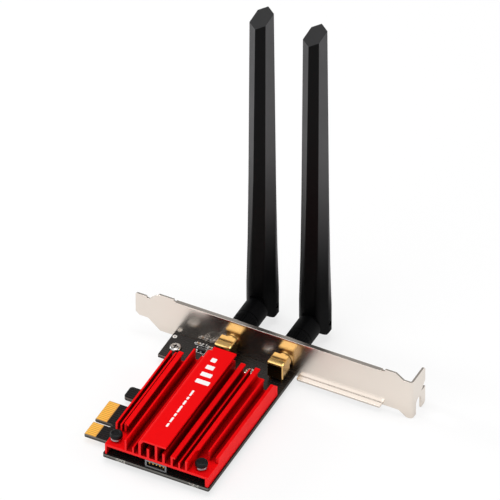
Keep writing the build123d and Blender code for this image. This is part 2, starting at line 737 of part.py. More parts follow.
for side, x in connector_x.items():
    along_axis = Axis((x, 0, axis_z), (0, 1, 0))

    # Connector: a square block on legs with a threaded barrel through the bracket
    with BuildPart() as connector:
        with BuildSketch(Plane.XY.offset(block_low)):
            strip(x - block_width / 2, block_front, block_width, block_depth)
        extrude(amount=block_height)
        chamfer(connector.edges(), block_chamfer)
        with BuildSketch(facing_front(block_back)):
            with Locations((x, axis_z)):
                Circle(thread_radius)
        extrude(amount=-(jack_end - block_back))
        with BuildSketch(facing_front(jack_end)):
            with Locations((x, axis_z)):
                Circle(jack_bore)
        extrude(amount=jack_bore_depth, mode=Mode.SUBTRACT)
        with BuildSketch(Plane.XY.offset(block_low)):
            with Locations(*leg_places(x)):
                Circle(leg_radius)
        extrude(amount=-(block_low - board_bottom + leg_tail))
    connector.part.label = f"{side}_connector"
    export_step(connector.part, f"parts/{side}_connector.step")

    insulator_start = jack_end - jack_bore_depth
    with BuildPart() as insulator:
        with BuildSketch(facing_front(insulator_start)):
            with Locations((x, axis_z)):
                Circle(jack_bore - slip)
                Circle(jack_pin_radius + slip, mode=Mode.SUBTRACT)
        extrude(amount=-(jack_bore_depth - insulator_recess - jack_pin_tail))
    insulator.part.label = f"{side}_connector_insulator"
    export_step(insulator.part, f"parts/{side}_connector_insulator.step")

    with BuildPart() as jack_pin:
        with BuildSketch(facing_front(insulator_start)):
            with Locations((x, axis_z)):
                Circle(jack_pin_radius)
        extrude(amount=-(jack_bore_depth - insulator_recess))
        chamfer(jack_pin.edges().group_by(Axis.Y)[-1], jack_pin_radius / 2)
    jack_pin.part.label = f"{side}_connector_pin"
    export_step(jack_pin.part, f"parts/{side}_connector_pin.step")

    with BuildPart() as washer:
        with BuildSketch(facing_front(plate_outer)):
            with Locations((x, axis_z)):
                Circle(washer_radius)
                Circle(thread_radius + slip, mode=Mode.SUBTRACT)
        extrude(amount=-washer_thickness)
    washer.part.label = f"{side}_washer"
    export_step(washer.part, f"parts/{side}_washer.step")

    with BuildPart() as nut:
        with BuildSketch(facing_front(nut_start)):
            with Locations((x, axis_z)):
                RegularPolygon(nut_flats / 2, 6, major_radius=False)
                Circle(thread_radius + slip, mode=Mode.SUBTRACT)
        extrude(amount=-nut_thickness)
        chamfer(nut.faces().sort_by(Axis.Y)[-1].outer_wire().edges(), nut_chamfer)
    nut.part.label = f"{side}_nut"
    export_step(nut.part, f"parts/{side}_nut.step")

    # Ferrule: seats on the jack, held by the collar, and carries the antenna's base
    with BuildPart() as ferrule:
        with BuildSketch(facing_front(jack_end)):
            with Locations((x, axis_z)):
                Circle(ferrule_flange_radius)
        extrude(amount=-ferrule_flange)
        with BuildSketch(facing_front(jack_end)):
            with Locations((x, axis_z)):
                Circle(ferrule_radius)
        extrude(amount=-ferrule_reach)
        with BuildSketch(facing_front(jack_end)):
            with Locations((x, axis_z)):
                Circle(ferrule_bore)
        extrude(amount=-ferrule_reach, mode=Mode.SUBTRACT)
    ferrule.part.label = f"{side}_ferrule"
    export_step(ferrule.part, f"parts/{side}_ferrule.step")

    # Fluted collar that screws on to the jack
    with BuildPart() as collar:
        with BuildSketch(facing_front(collar_start)):
            with Locations((x, axis_z)):
                Circle(barrel_radius)
        extrude(amount=-collar_length)
        with BuildSketch(facing_front(collar_start)):
            with Locations((x, axis_z)):
                Circle(thread_radius + slip)
        extrude(amount=-(jack_end + ferrule_flange + slip - collar_start), mode=Mode.SUBTRACT)
        with BuildSketch(facing_front(collar_start)):
            with Locations((x, axis_z)):
                Circle(collar_lip_radius)
        extrude(amount=-collar_length, mode=Mode.SUBTRACT)
        with BuildSketch(facing_front(collar_start + collar_smooth)):
            with Locations((x, axis_z)):
                with PolarLocations(barrel_radius, collar_flutes):
                    Rectangle(2 * flute_depth, flute_width)
        extrude(amount=-(collar_length - 2 * collar_smooth), mode=Mode.SUBTRACT)
    collar.part.label = f"{side}_antenna_collar"
    export_step(collar.part, f"parts/{side}_antenna_collar.step")

    # Swivel base: a barrel that ends in the hinge's tongue
    with BuildPart() as base:
        with BuildSketch(facing_front(base_start)):
            with Locations((x, axis_z)):
                Circle(barrel_radius)
        extrude(amount=-(base_end - base_start))
        with BuildSketch(Plane.YZ.offset(x - tongue_thickness / 2)):
            with Locations((hinge_y, axis_z)):
                Circle(barrel_radius)
            strip(base_end, axis_z - barrel_radius, hinge_y - base_end, 2 * barrel_radius)
        extrude(amount=tongue_thickness)
        with BuildSketch(facing_front(base_start)):
            with Locations((x, axis_z)):
                Circle(ferrule_radius + slip)
        extrude(amount=-(ferrule_end + running_gap - base_start), mode=Mode.SUBTRACT)
        with BuildSketch(Plane.YZ.offset(x - tongue_thickness / 2)):
            with Locations((hinge_y, axis_z)):
                Circle(hinge_pin_radius + slip)
        extrude(amount=tongue_thickness, mode=Mode.SUBTRACT)
    base.part.label = f"{side}_antenna_base"
    export_step(base.part, f"parts/{side}_antenna_base.step")

    with BuildPart() as hinge_pin:
        pin_half = root_half_width - hinge_pin_recess
        with BuildSketch(Plane.YZ.offset(x - pin_half)):
            with Locations((hinge_y, axis_z)):
                Circle(hinge_pin_radius)
        extrude(amount=2 * pin_half)
    hinge_pin.part.label = f"{side}_hinge_pin"
    export_step(hinge_pin.part, f"parts/{side}_hinge_pin.step")

    # Blade: tapers from round fork ears to a flat six-sided tip that ends on a slant
    tip_rise = tip_slope[0] * tip_flat + tip_slope[1] * tip_half_thickness
    tip_height = blade_length - tip_rise
    root = blade_section(x, blade_root, root_half_width, root_flat, ear_radius, root_round)
    hip = blade_section(x, blade_hip, hip_half_width, hip_flat, hip_half_thickness, hip_round)
    waist = blade_section(x, blade_waist, waist_half_width, waist_flat, waist_half_thickness, waist_round)
    tip = blade_section(x, tip_height, tip_half_width, tip_flat, tip_half_thickness, tip_round, tip_slope)
    with BuildPart() as blade:
        loft([root, hip, waist, tip], ruled=True)
        extrude(root, amount=-(blade_root + ear_radius))
        with BuildSketch(Plane.YZ.offset(x)):
            with Locations((hinge_y, axis_z - ear_radius)):
                Rectangle(4 * ear_radius, 2 * ear_radius)
            with Locations((hinge_y, axis_z)):
                Circle(ear_radius, mode=Mode.SUBTRACT)
        extrude(amount=root_half_width, both=True, mode=Mode.SUBTRACT)
        with BuildSketch(facing_front(hinge_y)):
            strip(x - root_half_width, axis_z - ear_radius, 2 * root_half_width, 2 * ear_round)
            with Locations((x, axis_z - ear_radius + 2 * ear_round)):
                RectangleRounded(2 * ear_side + slip, 4 * ear_round, ear_round, mode=Mode.SUBTRACT)
        extrude(amount=2 * ear_radius, both=True, mode=Mode.SUBTRACT)
        fork_half = tongue_thickness / 2 + fork_side_gap
        fork_root = barrel_radius + fork_root_gap
        with BuildSketch(Plane.XY.offset(axis_z - ear_radius)):
            strip(x - fork_half, hinge_y - ear_radius, 2 * fork_half, 2 * ear_radius)
        extrude(amount=ear_radius + fork_root, mode=Mode.SUBTRACT)
        with BuildSketch(Plane.YZ.offset(x)):
            with Locations((hinge_y, axis_z)):
                Circle(hinge_pin_radius + slip)
        extrude(amount=root_half_width, both=True, mode=Mode.SUBTRACT)
        with BuildSketch(Plane((x, hinge_y, axis_z + radiator_start))):
            Circle(radiator_radius + slip)
        extrude(amount=radiator_length, mode=Mode.SUBTRACT)
    blade.part.label = f"{side}_antenna_blade"
    export_step(blade.part, f"parts/{side}_antenna_blade.step")

    with BuildPart() as radiator:
        with BuildSketch(Plane((x, hinge_y, axis_z + radiator_start))):
            Circle(radiator_radius)
        extrude(amount=radiator_length)
    radiator.part.label = f"{side}_radiator"
    export_step(radiator.part, f"parts/{side}_radiator.step")
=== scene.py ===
# %% [markdown]
# A wireless network card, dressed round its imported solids.
# The card is a black board with a gold edge, a bright slot bracket, a red finned heat sink
# and two hinged antennas. The card's lengths are in millimetres and are turned into metres by
# `mm`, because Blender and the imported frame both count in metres. Only the studio at the end is
# set out in metres.

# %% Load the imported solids
import json
from math import cos, radians, sin

import bpy
from mathutils import Matrix, Vector

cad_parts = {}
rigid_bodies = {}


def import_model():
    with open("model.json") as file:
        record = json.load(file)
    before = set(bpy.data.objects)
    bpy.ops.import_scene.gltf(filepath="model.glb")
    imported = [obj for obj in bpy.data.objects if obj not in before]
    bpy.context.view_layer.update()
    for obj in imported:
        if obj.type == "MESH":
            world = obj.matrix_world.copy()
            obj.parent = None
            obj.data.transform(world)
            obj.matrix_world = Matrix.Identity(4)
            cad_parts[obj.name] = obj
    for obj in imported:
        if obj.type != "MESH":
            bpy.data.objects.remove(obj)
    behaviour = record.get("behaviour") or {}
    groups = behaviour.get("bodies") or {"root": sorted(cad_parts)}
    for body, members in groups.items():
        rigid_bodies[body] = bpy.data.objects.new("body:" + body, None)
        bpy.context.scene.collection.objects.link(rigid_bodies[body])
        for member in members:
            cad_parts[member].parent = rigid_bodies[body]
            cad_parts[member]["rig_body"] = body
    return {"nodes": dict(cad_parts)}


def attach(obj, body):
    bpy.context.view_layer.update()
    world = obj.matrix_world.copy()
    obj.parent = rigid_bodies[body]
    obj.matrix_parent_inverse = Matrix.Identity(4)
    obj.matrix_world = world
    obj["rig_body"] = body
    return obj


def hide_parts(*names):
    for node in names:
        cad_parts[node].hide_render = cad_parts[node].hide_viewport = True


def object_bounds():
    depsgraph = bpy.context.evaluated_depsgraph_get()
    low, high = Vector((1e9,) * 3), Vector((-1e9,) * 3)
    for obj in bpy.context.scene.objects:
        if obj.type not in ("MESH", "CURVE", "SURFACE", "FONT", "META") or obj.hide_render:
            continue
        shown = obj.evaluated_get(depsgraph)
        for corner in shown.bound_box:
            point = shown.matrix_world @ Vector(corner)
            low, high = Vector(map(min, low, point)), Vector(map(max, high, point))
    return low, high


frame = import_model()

mm = 0.001
cad_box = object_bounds()
nodes = frame["nodes"]
sides = ("left", "right")


def in_mm(box):
    """The two corners of a box in millimetres, for printing."""
    return [tuple(round(v / mm, 1) for v in corner) for corner in box]


print("solids:", len(nodes), "box:", in_mm(cad_box))

# %% [markdown]
# The camera stands in front of the card, a little to the right and well above it. It is far
# away and has a long lens, because parallel edges of the bracket stay parallel in the picture.
# It could be aimed by a constraint; a plain matrix is used, since the picture also leans by a
# quarter of a degree.

# %% Camera
azimuth, elevation, lean = radians(26.858), radians(41.379), radians(-0.25)
aim = Vector((33.26, 68.27, 47.59)) * mm
distance = 6112.5 * mm
picture_width = 500 / 2.586  # millimetres of the object across the frame

back = Vector((sin(azimuth) * cos(elevation), -cos(azimuth) * cos(elevation), sin(elevation)))
across = Vector((cos(azimuth), sin(azimuth), 0.0))
up = back.cross(across)
right_hand = across * cos(lean) + up * sin(lean)
upward = up * cos(lean) - across * sin(lean)

camera = bpy.data.objects.new("camera", bpy.data.cameras.new("camera"))
bpy.context.scene.collection.objects.link(camera)
camera.matrix_world = Matrix.Translation(aim + back * distance) @ Matrix(
    (right_hand, upward, back)
).transposed().to_4x4()
camera.data.sensor_width = 36.0
camera.data.lens = camera.data.sensor_width * (distance / mm) / picture_width
camera.data.clip_start = 0.5
camera.data.clip_end = 30.0
bpy.context.scene.camera = camera
print("camera lens:", round(camera.data.lens), "mm")

# %% [markdown]
# Finishes are node trees. Wiring them by hand takes many lines, so one small class wraps a
# socket: sums and products of wrapped sockets add Math nodes, and every other node comes from
# its `node` method, which takes the node's type, its settings and its socket values.

# %% Socket arithmetic for materials
class Wire:
    """One socket of a node tree, with arithmetic."""

    def __init__(self, tree, socket=None):
        self.tree = tree
        self.socket = socket

    def node(self, kind, settings=None, inputs=None, out=0):
        made = self.tree.nodes.new("ShaderNode" + kind)
        for key, value in (settings or {}).items():
            setattr(made, key, value)
        for key, value in (inputs or {}).items():
            if isinstance(value, Wire):
                self.tree.links.new(value.socket, made.inputs[key])
            else:
                made.inputs[key].default_value = value
        return Wire(self.tree, made.outputs[out])

    def math(self, operation, first, second=0.0):
        return self.node("Math", {"operation": operation}, {0: first, 1: second})

    def __add__(self, other):
        return self.math("ADD", self, other)

    def __radd__(self, other):
        return self.math("ADD", other, self)

    def __sub__(self, other):
        return self.math("SUBTRACT", self, other)

    def __rsub__(self, other):
        return self.math("SUBTRACT", other, self)

    def __mul__(self, other):
        return self.math("MULTIPLY", self, other)

    def __rmul__(self, other):
        return self.math("MULTIPLY", other, self)

    def between(self, low, high):
        """0 below low, 1 above high and a smooth step in between."""
        return self.node(
            "MapRange",
            {"interpolation_type": "SMOOTHSTEP"},
            {"Value": self, "From Min": low, "From Max": high},
        )

    def blend(self, first, second):
        """A colour that goes from first to second as this value goes from 0 to 1."""
        start, finish, result = 6, 7, 2  # the Mix node's sockets for colours
        ends = {"Factor": self}
        for slot, colour in ((start, first), (finish, second)):
            ends[slot] = colour if isinstance(colour, Wire) else (*colour, 1.0)
        return self.node("Mix", {"data_type": "RGBA"}, ends, out=result)


def shade(name, recipe, **constants):
    """Make a material: `recipe` wires what varies, `constants` are set on the shader itself."""
    made = bpy.data.materials.new(name)
    made.use_nodes = True
    shader = made.node_tree.nodes["Principled BSDF"]
    for key, value in constants.items():
        shader.inputs[key.replace("_", " ").title().replace("Ior", "IOR")].default_value = value
    for key, wire in recipe(Wire(made.node_tree)).items():
        made.node_tree.links.new(wire.socket, shader.inputs[key])
    return made


def place_on(wire, stretch=(1.0, 1.0, 1.0)):
    """Places on the piece, in millimetres, stretched along the piece's own directions."""
    here = wire.node("TexCoord", out="Object")
    scale = tuple(1.0 / mm / s for s in stretch)
    return wire.node("Mapping", inputs={"Vector": here, "Scale": scale})


def grain(wire, size, stretch=(1.0, 1.0, 1.0), detail=2.0):
    """A cloudy value from 0 to 1 whose clouds are about `size` millimetres across."""
    where = place_on(wire, stretch)
    return wire.node("TexNoise", inputs={"Vector": where, "Scale": 1.0 / size, "Detail": detail})


def relief(wire, height, depth):
    """A bump that is `depth` millimetres high where `height` is 1."""
    return wire.node("Bump", inputs={"Height": height, "Strength": 1.0, "Distance": depth * mm})


def facing(wire, axis):
    """How much the surface faces along an axis of the piece, either way: 0 to 1."""
    normal = wire.node("TexCoord", out="Normal")
    part = wire.node("SeparateXYZ", inputs={"Vector": normal}, out=axis)
    return wire.math("ABSOLUTE", part)


def position(wire, axis):
    """How far along an axis of the piece a place lies, in millimetres."""
    return wire.node("SeparateXYZ", inputs={"Vector": place_on(wire)}, out=axis)


print("socket arithmetic ready")

# %% [markdown]
# The board is glass fibre under a glossy black lacquer. Copper tracks stand up under the
# lacquer as faint ridges. The edges show the greyish laminate, paler in the upper plies where
# it was sawn, and the front edge has two rough scars where the board was broken off. The
# tracks could be cut into the mesh, but they are hundredths of a millimetre high, so a bump
# carries them.

# %% Board finishes
tongue_middle = 2.0  # along Y
front_middle = 35.2  # along X


def lacquered_board(tint, edge, bare_until=0.0):
    """Lacquer of one tint; the first `bare_until` millimetres from the gold edge have none."""

    def recipe(wire):
        face = facing(wire, "Z").between(0.5, 0.7)
        where = place_on(wire)
        tracks = wire.node(
            "TexBrick",
            {"offset": 0.37, "offset_frequency": 3, "squash": 1.6, "squash_frequency": 2},
            {"Vector": where, "Scale": 1.0, "Mortar Size": 0.16, "Mortar Smooth": 0.4,
             "Brick Width": 7.3, "Row Height": 1.15},
            out="Fac",
        )
        clouds = grain(wire, 9.0)
        ply = grain(wire, 0.16, stretch=(30.0, 30.0, 1.0))
        weave = grain(wire, 0.3, stretch=(4.0, 1.0, 1.0))
        lacquer = (tracks * 0.6 + clouds * 0.5).between(0.1, 1.1).blend(
            tint, tuple(c * 1.7 + 0.002 for c in tint)
        )
        resin = weave.blend((0.50, 0.27, 0.06), (0.66, 0.38, 0.10))
        from_edge, from_key, level = (position(wire, axis) for axis in "XYZ")
        beside = wire.math("ABSOLUTE", from_key - tongue_middle).between(11.0, 11.1)
        covered = wire.math("MAXIMUM", from_edge.between(bare_until, bare_until + 0.1), beside)
        aside = wire.math("ABSOLUTE", from_edge - front_middle)
        scar = aside.between(13.6, 14.0) * (1.0 - aside.between(17.8, 18.4))
        rough = grain(wire, 0.55).between(0.46, 0.56)
        scar = scar * (1.0 - from_key.between(-15.6, -15.5)) * rough
        paler_y_faces = facing(wire, "Y").between(0.6, 0.9) * level.between(-0.25, 0.20)
        plies = (paler_y_faces * 0.8 + ply * 0.2).blend(tuple(c * 0.2 for c in edge), edge)
        laminate = scar.blend(plies, (0.52, 0.51, 0.46))
        return {
            "Base Color": face.blend(laminate, covered.blend(resin, lacquer)),
            "Roughness": 0.62 - face * (0.30 + clouds * 0.12),
            "Normal": relief(wire, tracks * face * covered + grain(wire, 0.5) * 0.06, 0.035),
        }

    return recipe


board_black = shade(
    "board_black",
    lacquered_board((0.008, 0.0073, 0.0072), (0.19, 0.185, 0.17), bare_until=4.9),
    specular_ior_level=0.18,
)
module_black = shade("module_black", lacquered_board((0.010, 0.016, 0.012), (0.15, 0.15, 0.12)))
print("board finishes:", board_black.name, module_black.name)

# %% [markdown]
# The gold edge is hard gold over nickel: it shines softly and is scratched in the direction
# it slides into its slot. The antenna sockets are turned brass with a brighter flash of gold,
# so they keep fine turning marks round their barrels. The block's faces along Y are painted dark
# brown, a painted reflection of the dark things in front of them.
# Its top is crowned by about half a millimetre from the casting, which a bump carries.

# %% Gold finishes
block_end = 58.0  # along Y, between the block and the bracket
block_top = 9.0
crown_line = 56.3  # along Y, where the block's top is highest


def wiped_gold(wire):
    wipes = grain(wire, 0.22, stretch=(14.0, 1.0, 1.0), detail=4.0)
    clouds = grain(wire, 2.5)
    return {
        "Base Color": clouds.blend((1.0, 0.51, 0.06), (1.0, 0.58, 0.10)),
        "Roughness": 0.24 + wipes * 0.22,
        "Normal": relief(wire, wipes, 0.004),
    }


def turned_gold(wire):
    marks = grain(wire, 0.12, stretch=(30.0, 1.0, 30.0), detail=3.0)
    clouds = grain(wire, 3.0)
    flash = clouds.blend((0.66, 0.40, 0.13), (0.78, 0.52, 0.21))
    depth, height = position(wire, "Y"), position(wire, "Z")
    on_block = 1.0 - depth.between(block_end, block_end + 1.0)
    # painted reflection: the block's faces along Y are painted dark brown
    painted_dark_ends = facing(wire, "Y").between(0.90, 0.99) * on_block
    past_crown = depth - crown_line
    crown = past_crown * past_crown * -0.026 * height.between(block_top, block_top + 0.03)
    return {
        "Base Color": painted_dark_ends.blend(flash, (0.30, 0.175, 0.06)),
        "Roughness": 0.11 + marks * 0.12,
        "Normal": relief(wire, crown + marks * 0.004, 1.0),
    }


contact_gold = shade("contact_gold", wiped_gold, metallic=0.15, specular_ior_level=0.2)
socket_gold = shade("socket_gold", turned_gold, metallic=1.0)
print("gold finishes:", contact_gold.name, socket_gold.name)

# %% [markdown]
# The bracket is pressed from thin steel and plated with bright nickel, so it mirrors what is
# round it with a slight ripple from the rolling mill. Its lower rim is painted brighter, a painted
# highlight, the strip just above it is painted duller, a painted shade that dims the rim's
# reflection, and the folds are painted dark as painted shade. Screws, springs and hinge pins are
# duller steel, and a screw's recess is painted dark as painted shade. All of them are one recipe
# with different numbers. How closed in a place is comes from its ambient occlusion.

# %% Bare metal finishes
rim_from, rim_to = 58.4, 95.2  # the lower rim's ends, along X
rim_top, dim_strip_top = 0.3, 2.2  # heights that the rim and the strip above it stay below
even = (1.0, 1.0, 1.0)


def openness(wire, reach):
    """How open a place is within `reach` millimetres: near 0 in a deep corner, 1 in the open."""
    return wire.node(
        "AmbientOcclusion", {"samples": 12, "only_local": True}, {"Distance": reach * mm}, out="AO"
    )


def rolled_metal(tint, polish, along=(10.0, 1.0, 1.0), ripple=0.02, streak=0.10):
    def recipe(wire):
        lines = grain(wire, 0.35, stretch=along, detail=4.0)
        waves = grain(wire, 11.0, detail=1.0)
        return {
            "Base Color": waves.blend(tuple(c * 0.94 for c in tint), tint),
            "Roughness": polish + lines * streak,
            "Normal": relief(wire, waves + lines * streak * 0.8, ripple),
        }

    return recipe


def folded_nickel(wire):
    """Bright plating with a painted highlight on the rim, painted shade on the strip above it and
    painted shade in the folds.
    """
    made = rolled_metal((0.79, 0.72, 0.65), 0.21, ripple=0.012, streak=0.02)(wire)
    length, height = position(wire, "X"), position(wire, "Z")
    # painted highlight: the top of the lower rim is painted brighter
    painted_lit_rim = facing(wire, "Z").between(0.90, 0.99) * (1.0 - height.between(rim_top, rim_top + 0.2))
    past_start = length.between(rim_from, rim_from + 0.5)
    past_end = length.between(rim_to - 0.8, rim_to)
    # painted shade: the strip above the rim is painted duller to dim its reflection
    painted_dim_strip = facing(wire, "Y").between(0.90, 0.99) * (1.0 - height.between(dim_strip_top, dim_strip_top + 0.5))
    painted_dim_strip = painted_dim_strip * past_start * (1.0 - past_end)
    dimmed = painted_dim_strip.blend(made["Base Color"], (0.58, 0.525, 0.475))
    brightened = painted_lit_rim.blend(dimmed, (0.92, 0.90, 0.88))
    # painted shade: the folds are darkened where the ambient occlusion closes in
    painted_fold_shade = openness(wire, 1.1).between(0.46, 0.74)
    made["Base Color"] = painted_fold_shade.blend((0.16, 0.14, 0.12), brightened)
    return made


def steel_with_painted_recess(wire):
    """Dull steel with painted shade in the driver's recess."""
    made = rolled_metal((0.36, 0.35, 0.34), 0.08)(wire)
    # painted shade: the recess is darkened where the ambient occlusion closes in
    painted_shade_mask = openness(wire, 1.2).between(0.40, 0.90)
    made["Base Color"] = painted_shade_mask.blend((0.012, 0.012, 0.012), made["Base Color"])
    return made


bright_nickel = shade("bright_nickel", folded_nickel, metallic=1.0)
screw_steel = shade("screw_steel", steel_with_painted_recess, metallic=1.0)
black_steel = shade("black_steel", rolled_metal((0.020, 0.020, 0.021), 0.30), metallic=1.0)
spring_steel = shade("spring_steel", rolled_metal((0.30, 0.30, 0.31), 0.16), metallic=1.0)
shield_tin = shade("shield_tin", rolled_metal((0.74, 0.73, 0.70), 0.28), metallic=1.0)
ferrule_brass = shade("ferrule_brass", rolled_metal((0.72, 0.60, 0.36), 0.20), metallic=1.0)
rod_copper = shade("rod_copper", rolled_metal((0.80, 0.42, 0.25), 0.28), metallic=1.0)
# painted highlight: this tin is made nearly white and matte, so the plated hole looks as bright as
# the white floor seen through it
white_tin = shade("white_tin", rolled_metal((0.93, 0.92, 0.90), 0.40, along=even), metallic=0.25)
solder_tin = shade("solder_tin", rolled_metal((0.66, 0.67, 0.68), 0.20, along=even), metallic=1.0)
print("bare metals:", bright_nickel.name, screw_steel.name, spring_steel.name)

# %% [markdown]
# The heat sink is an aluminium extrusion, blasted and dyed red. The die leaves faint lines
# along the fins, the dye is a little uneven, and the surface is a satin metal, so its colour
# comes partly from a metallic shader. The channels are painted dark, a painted shade read from
# the ambient occlusion, and the fin ends are painted paler, a painted highlight of the front
# light.

# %% Red anodised finish
def dyed_aluminium(wire):
    lines = grain(wire, 0.2, stretch=(1.0, 60.0, 1.0), detail=3.0)
    blast = grain(wire, 0.14, detail=1.0)
    dye = grain(wire, 14.0)
    # painted shade: the base colour darkens where the ambient occlusion finds a channel
    painted_shade_mask = openness(wire, 5.0)
    flush = dye.blend((0.90, 0.0038, 0.0054), (0.99, 0.0058, 0.0080))
    # painted highlight: the faces along Y, the fin ends, are painted paler and pinker
    paler_y_faces = facing(wire, "Y").between(0.85, 0.97).blend(flush, (0.94, 0.026, 0.028))
    return {
        "Base Color": painted_shade_mask.between(0.12, 0.92).blend((0.17, 0.0008, 0.0012), paler_y_faces),
        "Roughness": 0.30 + lines * 0.12 + blast * 0.08,
        "Normal": relief(wire, lines * 0.7 + blast * 0.5, 0.010),
    }


red_anodise = shade(
    "red_anodise", dyed_aluminium, metallic=0.40, specular_ior_level=0.12,
    specular_tint=(1.0, 0.08, 0.08, 1.0),
)
print("heat sink finish:", red_anodise.name)

# %% [markdown]
# The antennas are moulded in black plastic: the broad front and back are smooth and deep
# black, and the sloping sides have a fine spark-eroded texture. The sides are painted grey, a
# painted sheen of the side lamps that grows towards the tip, and near the root the rounded sides
# carry a painted highlight. A normal and a height in the piece's own directions tell them apart,
# so the finish holds from every side.

# %% Antenna finish
def moulded_black(wire):
    sideways = facing(wire, "X")
    slope = sideways.between(0.12, 0.34)
    # painted highlight: the rounded sides near the root are painted pale grey
    painted_lit_rim = sideways.between(0.80, 1.0)
    height = position(wire, "Z")
    sheen_towards_tip = height.between(20.0, 100.0)
    painted_lit_rim = painted_lit_rim * height.between(10.0, 34.0)
    spark = grain(wire, 0.22)
    clouds = grain(wire, 18.0)
    # painted sheen: the sloping sides are painted grey, more so towards the tip
    painted_side_sheen = (spark * 0.5 + clouds * 0.5).blend((0.075, 0.075, 0.077), (0.125, 0.125, 0.127))
    lower = painted_lit_rim.blend((0.003, 0.003, 0.0033), (0.20, 0.20, 0.202))
    return {
        "Base Color": slope.blend((0.0015, 0.0015, 0.0017), sheen_towards_tip.blend(lower, painted_side_sheen)),
        "Roughness": 0.36 + slope * 0.10 + spark * 0.10,
        "Normal": relief(wire, spark * (0.3 + slope * 0.7), 0.012),
    }


antenna_black = shade("antenna_black", moulded_black, specular_ior_level=0.05)
print("antenna finish:", antenna_black.name)

# %% [markdown]
# The small plastics, ceramics and rubbers share one recipe: two near tones in soft clouds,
# a fine moulded grain in the bump, and a roughness that follows the grain.

# %% Small plastics and ceramics
shell_front = -14.78  # the front header's rim, along Y


def moulded(low, high, polish, size=0.18, depth=0.008):
    def recipe(wire):
        fine = grain(wire, size)
        return {
            "Base Color": (grain(wire, 4.0) * 0.7 + fine * 0.3).blend(low, high),
            "Roughness": polish + fine * 0.14,
            "Normal": relief(wire, fine, depth),
        }

    return recipe


def shell_with_painted_shade(wire):
    """Plastic with a pale grey front rim; the rest is painted near black, a painted shade of its
    dark inside.
    """
    fine = grain(wire, 0.18)
    painted_lit_rim = 1.0 - position(wire, "Y").between(shell_front, shell_front + 0.12)
    rim_grey = fine.blend((0.20, 0.205, 0.21), (0.28, 0.285, 0.29))
    return {
        # painted shade: all but the front rim is painted near black
        "Base Color": painted_lit_rim.blend((0.012, 0.012, 0.013), rim_grey),
        "Roughness": 0.36 + fine * 0.14,
        "Normal": relief(wire, fine, 0.008),
    }


pin_nylon = shade(
    "pin_nylon",
    moulded((0.004, 0.004, 0.0043), (0.008, 0.008, 0.0085), 0.34),
    specular_ior_level=0.14,
)
pad_grey = shade("pad_grey", moulded((0.20, 0.21, 0.23), (0.27, 0.28, 0.30), 0.72, depth=0.02))
socket_plastic = shade(
    "socket_plastic", moulded((0.018, 0.018, 0.019), (0.030, 0.030, 0.031), 0.42)
)
header_plastic = shade("header_plastic", shell_with_painted_shade)
lead_jacket = shade("lead_jacket", moulded((0.014, 0.014, 0.015), (0.024, 0.024, 0.025), 0.38))
insulator_white = shade("insulator_white", moulded((0.74, 0.73, 0.70), (0.82, 0.81, 0.78), 0.36))
chip_ceramic = shade("chip_ceramic", moulded((0.30, 0.20, 0.12), (0.38, 0.27, 0.17), 0.44))
chip_black = shade("chip_black", moulded((0.014, 0.014, 0.015), (0.024, 0.024, 0.026), 0.46))
print_white = shade(
    "print_white", moulded((0.80, 0.80, 0.79), (0.90, 0.90, 0.89), 0.50, depth=0.004)
)
print("small finishes:", pin_nylon.name, chip_ceramic.name, print_white.name)

# %% [markdown]
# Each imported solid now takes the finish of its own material. The solids keep their shapes and
# only change their material slots.

# %% Dress the solids
finishes = {
    "circuit_board": board_black,
    "edge_contacts_top": contact_gold,
    "edge_contacts_bottom": contact_gold,
    "bracket": bright_nickel,
    "bracket_screws": screw_steel,
    "heat_sink": red_anodise,
    "push_pins": pin_nylon,
    "pin_springs": spring_steel,
    "thermal_pad": pad_grey,
    "module_board": module_black,
    "module_shield": shield_tin,
    "module_socket": socket_plastic,
    "module_standoff": ferrule_brass,
    "module_screw": screw_steel,
    "header_shell": header_plastic,
    "header_pins": contact_gold,
    "board_chips": chip_ceramic,
}
for side in sides:
    finishes[side + "_lead_plugs"] = contact_gold
    finishes[side + "_lead"] = lead_jacket
    for name in ("connector", "connector_pin", "washer", "nut"):
        finishes[f"{side}_{name}"] = socket_gold
    finishes[side + "_connector_insulator"] = insulator_white
    finishes[side + "_ferrule"] = ferrule_brass
    for name in ("antenna_collar", "antenna_base", "antenna_blade"):
        finishes[f"{side}_{name}"] = antenna_black
    finishes[side + "_hinge_pin"] = black_steel
    finishes[side + "_radiator"] = rod_copper

for name, solid in nodes.items():
    solid.data.materials.clear()
    solid.data.materials.append(finishes[name])
print("dressed:", len(finishes), "of", len(nodes))

# %% [markdown]
# Sharp modelled edges catch no light, and real ones always do. Where an edge is seen closely,
# the solid is copied, its loose triangles are merged into clean faces, and a narrow bevel is
# run along every corner. Its normals are weighted by area, so that the flat faces stay flat to
# the light and only the bevels turn. The copy then stands for the solid.

# %% Break the edges of the metal pieces
def only(piece):
    """Leave edit mode, select one piece and make it active."""
    if bpy.context.mode != "OBJECT":
        bpy.ops.object.mode_set(mode="OBJECT")
    bpy.ops.object.select_all(action="DESELECT")
    piece.select_set(True)
    bpy.context.view_layer.objects.active = piece


def use(piece, kind, **settings):
    """Add a modifier and apply it at once."""
    only(piece)
    made = piece.modifiers.new(kind.lower(), kind)
    for key, value in settings.items():
        setattr(made, key, value)
    bpy.ops.object.modifier_apply(modifier=made.name)


def smooth(piece, angle=35.0):
    only(piece)
    bpy.ops.object.shade_smooth_by_angle(angle=radians(angle))


